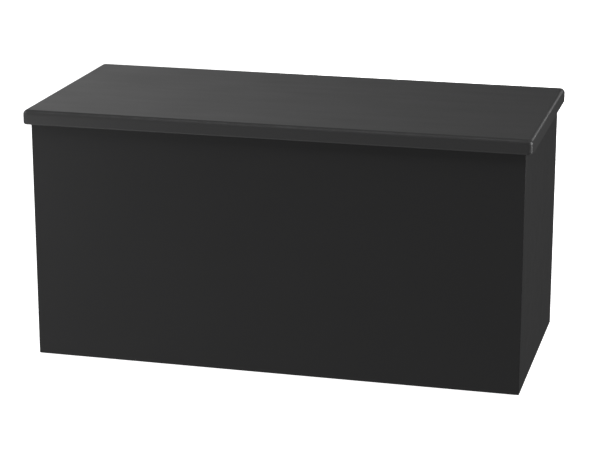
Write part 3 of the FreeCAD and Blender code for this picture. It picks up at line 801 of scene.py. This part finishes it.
# ------------ sub-assemblies
def separate_solids(node: str) -> list[tuple[Vector, Vector]]:
    """Where each separate solid of a CAD node lies.

    Points at the same place count as one. Each starts with a number of its own and takes the lowest number
    that its edges lead to, over and over, until every solid has one number.

    Args:
        node: the node's name.

    Returns:
        The lowest and the highest corner of each solid's box.
    """
    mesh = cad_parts[node].data
    points = np.empty(len(mesh.vertices) * 3)
    mesh.vertices.foreach_get("co", points)
    points = points.reshape(-1, 3)
    edges = np.empty(len(mesh.edges) * 2, dtype=np.int32)
    mesh.edges.foreach_get("vertices", edges)
    same = np.unique(points.round(6), axis=0, return_inverse=True)[1].ravel()
    ends = same[edges].reshape(-1, 2)
    number, lowest = None, np.arange(same.max() + 1)
    while number is None or (number != lowest).any():
        number = lowest.copy()
        np.minimum.at(lowest, ends[:, 0], number[ends[:, 1]])
        np.minimum.at(lowest, ends[:, 1], number[ends[:, 0]])
        lowest = lowest[lowest]
    solid = lowest[same]
    return [
        (Vector(points[solid == one].min(axis=0)), Vector(points[solid == one].max(axis=0)))
        for one in np.unique(solid)
    ]


def standing(solids: Sequence[tuple[Vector, Vector]]) -> list[tuple[Vector, Vector]]:
    """Places for turned pieces that stand upright in the middle of some solids.

    Args:
        solids: the lowest and the highest corner of each solid's box.

    Returns:
        The middle of each box's lowest face, with the upward direction.
    """
    upward = Vector((0.0, 0.0, 1.0))
    return [(Vector(((low.x + high.x) / 2, (low.y + high.y) / 2, low.z)), upward) for low, high in solids]


def dress(finish: Finish, *nodes: str) -> None:
    """Give CAD nodes that keep their shapes one finish.

    Args:
        finish: the finish.
        nodes: the nodes' names.
    """
    material = finish.material()
    for node in nodes:
        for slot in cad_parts[node].material_slots:
            slot.material = material
        log.info("%s keeps its shape, in %s", node, finish.name)


def stand_in(piece: bpy.types.Object, body: str, node: str, finish: Finish) -> None:
    """Let a new piece stand for a CAD node.

    Args:
        piece: the new piece.
        body: the body that it moves with.
        node: the node that it stands for.
        finish: its finish.
    """
    piece.data.materials.append(finish.material())
    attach(piece, body)
    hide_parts(node)
    log.info("%s stands for %s, %d faces, in %s", piece.name, node, len(piece.data.polygons), finish.name)


@dataclass(frozen=True)
class Carcass:
    """The box: four lacquered boards, and the base on its cleats.

    Attributes:
        arris: radius of the box's four upright outer edges.
        seam: radius of the upright edges where two boards meet.
        ease: radius of the boards' upper and lower edges.
    """

    arris: float = 0.0015
    seam: float = 0.0006
    ease: float = 0.0005

    def _board(self, name: str, node: str, radii: tuple[float, float, float, float]) -> None:
        """Build one upright board, with its section lying flat and carried up.

        Args:
            name: the piece's name.
            node: the node that it stands for.
            radii: the section's corner radii, at left-front, right-front, left-back and right-back.
        """
        low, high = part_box(node)
        board = EasedBoard(low, high, run=2, radii=radii, low_ease=self.ease, high_ease=self.ease)
        stand_in(board.piece(name), "carcass", node, BODY_LACQUER)

    def build(self) -> None:
        """Build the boards and dress the base and the cleats."""
        arris, seam = self.arris, self.seam
        self._board("front_board", "front_panel", (arris, arris, seam, seam))
        self._board("back_board", "back_panel", (seam, seam, seam, seam))
        self._board("left_side_board", "left_side_panel", (seam, seam, arris, seam))
        self._board("right_side_board", "right_side_panel", (seam, seam, seam, arris))
        dress(BLACK_MELAMINE, "base_panel")
        dress(PINE_ALONG_X, "front_cleat", "back_cleat")
        dress(PINE_ALONG_Y, "left_cleat", "right_cleat")
        dress(ZINC_PLATE, "cleat_screws", "base_panel_screws")


@dataclass(frozen=True)
class SeatLid:
    """The seat: one board, well rounded above, eased below, and softly rounded at its corners.

    Attributes:
        top_radius: radius of the upper edge.
        lower_radius: radius of the lower edge.
        corner_radius: radius of the corners, seen from above.
    """

    top_radius: float = 0.008
    lower_radius: float = 0.003
    corner_radius: float = 0.010

    def build(self) -> None:
        """Build the seat board."""
        low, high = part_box("lid_panel")
        board = EasedBoard(
            low,
            high,
            run=2,
            radii=(self.corner_radius,) * 4,
            low_ease=self.lower_radius,
            high_ease=self.top_radius,
            steps=8,
        )
        stand_in(board.piece("seat_board"), "lid", "lid_panel", SEAT_LACQUER_PAINTED_LIGHTER)


@dataclass(frozen=True)
class CornerFittings:
    """Cams, bolts and dowels in the corner joints, and the caps that cover the cams.

    Attributes:
        cap_edge: radius of a cap's rim.
        cap_crown: how much higher a cap is in its middle than at its rim.
    """

    cap_edge: float = 0.0005
    cap_crown: float = 0.0002

    def _caps(self) -> bpy.types.Object:
        """Turn a cap at each cam.

        A cap has a short upright rim, a rounded edge, and a shallow crown that rises as a parabola towards
        the middle. Its thin direction is its axis, and it faces the middle of the box.

        Returns:
            The object that holds every cap.
        """
        solids = separate_solids("cam_cover_caps")
        places = []
        for low, high in solids:
            size, middle = high - low, (high + low) / 2
            axis = min(range(3), key=lambda direction: size[direction])
            upward = Vector((0.0, 0.0, 0.0))
            upward[axis] = -math.copysign(1.0, middle[axis])
            places.append((middle - upward * (size[axis] / 2), upward))
        cap = solids[0][1] - solids[0][0]
        radius, height = max(cap) / 2, min(cap)
        shoulder = height - self.cap_crown
        edge = arc((radius - self.cap_edge, shoulder - self.cap_edge), self.cap_edge, 0, 90)
        inward = np.linspace(edge[-1, 0], 0.0, 8, endpoint=False)[1:]
        crown = np.column_stack((inward, height - self.cap_crown * (inward / edge[-1, 0]) ** 2))
        return turned_pieces("cam_caps", np.concatenate(([[radius, 0.0]], edge, crown)), places)

    def build(self) -> None:
        """Make the caps and dress the rest."""
        stand_in(self._caps(), "carcass", "cam_cover_caps", CAP_PLASTIC)
        dress(DIE_CAST_ZINC, "corner_cams")
        dress(ZINC_PLATE, "corner_cam_bolts")
        dress(BEECH, "corner_dowels")


@dataclass(frozen=True)
class FloorGlides:
    """Nail-in glides under the front and back cleats.

    Attributes:
        foot_height: from the floor to the cleats.
        edge: radius of the foot's lower and upper rims.
        nail_radius: radius of the nail.
        dish: how far the sole is dished in its middle.
    """

    foot_height: float = 0.003
    edge: float = 0.0008
    nail_radius: float = 0.001
    dish: float = 0.0002

    def build(self) -> None:
        """Turn the glides: a sole dished as a parabola, rounded rims, and the nail with its point."""
        solids = separate_solids("floor_glides")
        radius, tip = (solids[0][1].x - solids[0][0].x) / 2, solids[0][1].z
        inner = radius - self.edge
        out = np.linspace(0.0, inner, 7)[1:-1]
        sole = np.column_stack((out, self.dish * (1 - (out / inner) ** 2)))
        profile = np.concatenate((
            sole,
            arc((inner, self.edge), self.edge, -90, 0),
            arc((radius - self.edge / 2, self.foot_height - self.edge / 2), self.edge / 2, 0, 90),
            [[self.nail_radius, self.foot_height], [self.nail_radius, tip - self.nail_radius]],
            [[self.nail_radius / 4, tip]],
        ))
        glides = turned_pieces("nail_in_glides", profile, standing(solids))
        stand_in(glides, "carcass", "floor_glides", GLIDE_NYLON)


@dataclass(frozen=True)
class LidBumpers:
    """Clear stick-on bumpers that the seat comes down on.

    Attributes:
        rim: height of a bumper's upright rim.
    """

    rim: float = 0.0003

    def build(self) -> None:
        """Turn the bumpers: a low rim, then a dome that is part of a ball through the rim and the top."""
        solids = separate_solids("lid_bumpers")
        low, high = solids[0]
        radius, rise = (high.x - low.x) / 2, high.z - low.z - self.rim
        ball = (radius**2 + rise**2) / (2 * rise)
        edge = math.degrees(math.acos(radius / ball))
        dome = arc((0.0, self.rim + rise - ball), ball, edge, 90, 12)[:-1]
        profile = np.concatenate(([[radius, 0.0]], dome))
        bumpers = turned_pieces("rim_bumpers", profile, standing(solids), segments=32)
        stand_in(bumpers, "carcass", "lid_bumpers", BUMPER_RUBBER)


@dataclass(frozen=True)
class FlushHinges:
    """Three flush hinges between the back board and the seat.

    Attributes:
        places: the hinges' names.
    """

    places: tuple[str, ...] = ("left", "middle", "right")

    def build(self) -> None:
        """Dress the leaves, the pins and their screws."""
        for place in self.places:
            dress(ZINC_PLATE, *(f"{place}_hinge_{part}" for part in ("body_leaf", "lid_leaf", "pin")))
        dress(ZINC_PLATE, "hinge_body_screws", "hinge_lid_screws")


@dataclass(frozen=True)
class LidStays:
    """The soft-closing stay inside each end of the box.

    Attributes:
        sides: the stays' names.
    """

    sides: tuple[str, ...] = ("left", "right")

    def build(self) -> None:
        """Dress the damper, the arm and the link, the lid bracket, and the rivets and screws."""
        for side in self.sides:
            dress(DAMPER_PLASTIC, f"{side}_stay_housing", f"{side}_stay_cover")
            dress(SATIN_NICKEL, *(f"{side}_stay_{part}" for part in ("arm", "link", "lid_bracket")))
            dress(DIE_CAST_ZINC, f"{side}_stay_rotor")
            rivets = ("elbow_rivet", "bracket_pin", "housing_screws", "bracket_screws")
            dress(ZINC_PLATE, *(f"{side}_stay_{part}" for part in rivets))


# ------------ studio
@dataclass(frozen=True)
class Glow:
    """A soft patch of light in the studio's surround.

    Its light at a direction is its strength times e to the power of (the cosine of the angle from its middle,
    less 1) over (1 less the cosine of its spread).

    Attributes:
        azimuth: its middle's bearing in degrees, 0 behind the bench (+Y) and 90 at its right (+X).
        elevation: its middle's height in degrees.
        spread: the angle in degrees at which it has fallen to a little over a third.
        strength: its light in the middle.
    """

    azimuth: float
    elevation: float
    spread: float
    strength: float

    def value(self, graph: Graph, direction: bpy.types.NodeSocket) -> Value:
        """The glow's light at a direction, as nodes.

        Args:
            graph: the surround's tree.
            direction: the direction that light comes from.

        Returns:
            The light.
        """
        bearing, height = math.radians(self.azimuth), math.radians(self.elevation)
        level = math.cos(height)
        middle = (math.sin(bearing) * level, math.cos(bearing) * level, math.sin(height))
        dot = graph.add("ShaderNodeVectorMath", {"operation": "DOT_PRODUCT"}, {0: direction, 1: middle})
        cosine = Value(graph, dot.outputs["Value"])
        sharpness = 1.0 / (1.0 - math.cos(math.radians(self.spread)))
        return graph.maths("EXPONENT", (cosine - 1.0) * sharpness) * self.strength


@dataclass(frozen=True)
class Softbox:
    """A soft studio light: a flat panel that shines evenly.

    Attributes:
        name: the light's name.
        place: where its middle is.
        aim: the point that it faces.
        size: its width and height.
        radiance: its brightness, 1 being what shows as full white.
        mirrored: whether it shows in glossy reflections.
        scattered: whether it lights matt surfaces.
    """

    name: str
    place: Point
    aim: Point
    size: tuple[float, float]
    radiance: float
    mirrored: bool = True
    scattered: bool = True

    def build(self) -> None:
        """Hang the light. A panel's power is its brightness times its area times pi."""
        data = bpy.data.lights.new(self.name, "AREA")
        data.shape = "RECTANGLE"
        data.size, data.size_y = self.size
        data.energy = math.pi * self.size[0] * self.size[1] * self.radiance
        light = bpy.data.objects.new(self.name, data)
        light.location = self.place
        light.rotation_mode = "QUATERNION"
        light.rotation_quaternion = (Vector(self.aim) - Vector(self.place)).to_track_quat("-Z", "Y")
        light.visible_camera = False
        light.visible_glossy = self.mirrored
        light.visible_diffuse = self.scattered
        bpy.context.scene.collection.objects.link(light)


@dataclass(frozen=True)
class Viewpoint:
    """The camera, by where it looks and from where.

    Attributes:
        target: the point in the middle of the picture.
        azimuth: its bearing in degrees, 0 in front of the bench and 90 at its right.
        elevation: its height in degrees above the target.
        distance: from the target.
        lens: focal length in millimetres, on a 36 mm sensor.
    """

    target: Point = (-0.0021, 0.007, 0.2114)
    azimuth: float = 14.34
    elevation: float = 16.22
    distance: float = 3.618
    lens: float = 122.1

    def build(self) -> None:
        """Set up the camera and make it the scene's own."""
        bearing, height = math.radians(self.azimuth), math.radians(self.elevation)
        level = math.cos(height)
        back = Vector((math.sin(bearing) * level, -math.cos(bearing) * level, math.sin(height)))
        data = bpy.data.cameras.new("camera")
        data.lens = self.lens
        camera = bpy.data.objects.new("camera", data)
        camera.location = Vector(self.target) + back * self.distance
        camera.rotation_mode = "QUATERNION"
        camera.rotation_quaternion = (-back).to_track_quat("-Z", "Y")
        bpy.context.scene.collection.objects.link(camera)
        bpy.context.scene.camera = camera


@dataclass(frozen=True)
class Studio:
    """A white ground, a dim surround with soft glows, and softboxes.

    Attributes:
        floor_size: side of the ground.
        ambient: light of the surround outside its glows.
        background: what the camera sees past the ground.
        glows: the soft patches of the surround.
        softboxes: the lights.
    """

    floor_size: float = 60.0
    ambient: float = 0.09
    background: float = 1.2
    glows: tuple[Glow, ...] = (
        Glow(-28.0, 14.0, 12.0, 0.67),
        Glow(-130.0, -10.0, 30.0, 0.09),
        Glow(-118.0, -45.0, 12.0, 5.0),
        Glow(180.0, -50.0, 25.0, 0.60),
        Glow(16.7, 13.7, 4.0, 3.4),
    )
    softboxes: tuple[Softbox, ...] = (
        Softbox("left_softbox", (-0.95, -0.8, 0.45), (-0.2, -0.2, 0.3), (0.5, 0.7), 0.764, mirrored=False),
        Softbox("low_left_softbox", (-1.0, -0.9, 0.2), (-0.2, -0.2, 0.2), (0.6, 0.35), 13.5, mirrored=False),
        Softbox("overhead_softbox", (0.0, -0.7, 1.9), (0.0, 0.0, 0.3), (1.6, 1.0), 5.35, mirrored=False),
        Softbox("right_softbox", (1.9, -0.2, 0.7), (0.2, 0.0, 0.3), (0.8, 1.2), 7.64),
        Softbox("back_softbox", (0.2, 2.2, 0.55), (0.0, 0.0, 0.22), (1.4, 0.7), 7.64, mirrored=False),
        Softbox("left_gloss_softbox", (-1.9, -0.3, 1.2), (0.0, 0.0, 0.3), (0.8, 0.8), 2.55, scattered=False),
    )

    def _surround(self) -> None:
        """Light everything but the camera's own view with the ambient light and the glows."""
        world = bpy.data.worlds.new("surround")
        world.use_nodes = True
        bpy.context.scene.world = world
        graph = Graph(world.node_tree)
        direction = graph.add("ShaderNodeTexCoord").outputs["Generated"]
        light = sum(glow.value(graph, direction) for glow in self.glows)
        white = (1.0, 1.0, 1.0, 1.0)
        lit = graph.add("ShaderNodeBackground", None, {"Color": white, "Strength": light + self.ambient})
        seen = graph.add("ShaderNodeBackground", None, {"Color": white, "Strength": self.background})
        first_sight = graph.add("ShaderNodeLightPath").outputs["Is Camera Ray"]
        choice = {0: first_sight, 1: lit.outputs[0], 2: seen.outputs[0]}
        either = graph.add("ShaderNodeMixShader", None, choice)
        graph.add("ShaderNodeOutputWorld", None, {"Surface": either.outputs[0]})

    def _floor(self) -> None:
        """Lay the ground: one flat square round the origin, half its size each way.

        It is left out of reflections and bounced light and blocks no light, so the glows below the horizon
        reach the bench. Its own light is strong enough to drown any shadow on it.
        """
        half = self.floor_size / 2
        corners = np.array([[-half, -half, 0.0], [half, -half, 0.0], [half, half, 0.0], [-half, half, 0.0]])
        floor = shaped_piece("paper_sweep", corners, [[0, 1, 2, 3]])
        floor.data.materials.append(STUDIO_PAPER.material())
        floor.visible_glossy = False
        floor.visible_diffuse = False
        floor.visible_shadow = False

    def build(self) -> None:
        """Set up the surround, the ground and the lights."""
        bpy.context.scene.view_settings.view_transform = "Standard"
        self._surround()
        self._floor()
        for softbox in self.softboxes:
            softbox.build()


def main() -> None:
    """Build the camera, the sub-assemblies and the studio."""
    logging.basicConfig(level=logging.INFO, format="%(name)s: %(message)s")
    Viewpoint().build()
    fittings = (CornerFittings(), FloorGlides(), LidBumpers(), FlushHinges(), LidStays())
    for assembly in (Carcass(), SeatLid(), *fittings, Studio()):
        log.info("building %s", type(assembly).__name__)
        assembly.build()


if __name__ == "__main__":
    main()
